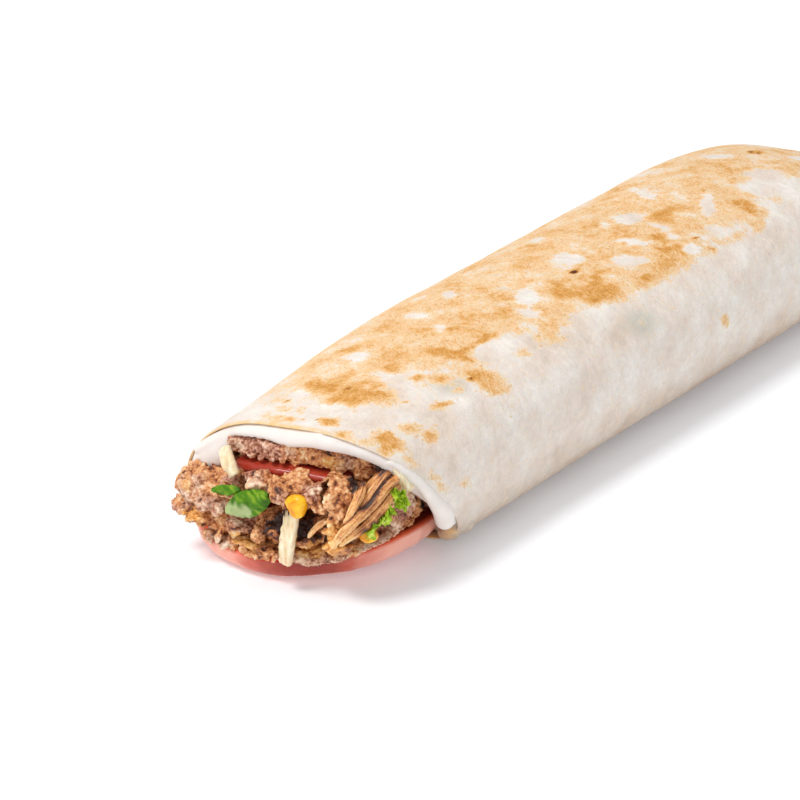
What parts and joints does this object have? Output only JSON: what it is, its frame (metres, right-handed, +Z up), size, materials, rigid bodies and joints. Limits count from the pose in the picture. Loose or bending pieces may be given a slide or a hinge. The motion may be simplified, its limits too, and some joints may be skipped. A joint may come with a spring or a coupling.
{
  "type": "chicken wrap",
  "caption": "Filled flour tortilla wrap lying flat, with one open end showing sliced and pulled meat, tomato, white sauce, onion, corn and herbs.",
  "frame": {"origin": "middle of the flat underside, on the surface that the wrap lies on", "axes": "+Z up; +Y along the roll, from the open end towards the tucked end; +X to the right as one looks into the open end"},
  "size_m": [0.0634, 0.2573, 0.0436],
  "materials": {
    "tortilla": "dry flour tortilla, griddled to golden brown spots on top and pale at the sides",
    "sauce": "smooth white garlic or yoghurt sauce with a soft sheen",
    "tomato": "wet tomato slice with a paler salmon-pink rim",
    "meat": "rough, moist, roasted meat, brown with orange and gold glints",
    "onion": "raw onion, cream and slightly translucent",
    "corn": "shiny yellow kernel",
    "leaf": "green salad leaf with pale veins",
    "parsley": "bright green fresh herb"
  },
  "bodies": {
    "root": {"tortilla": "tortilla", "sauce": "sauce", "tomato_lower": "tomato", "tomato_upper": "tomato", "meat_heap": "meat", "meat_shreds": "meat", "meat_slice_top": "meat", "meat_slice_bottom": "meat", "onion_left": "onion", "onion_centre": "onion", "onion_right": "onion", "corn_centre": "corn", "corn_right": "corn", "leaf_large": "leaf", "leaf_small": "leaf", "parsley": "parsley"}
  },
  "joints": []
}
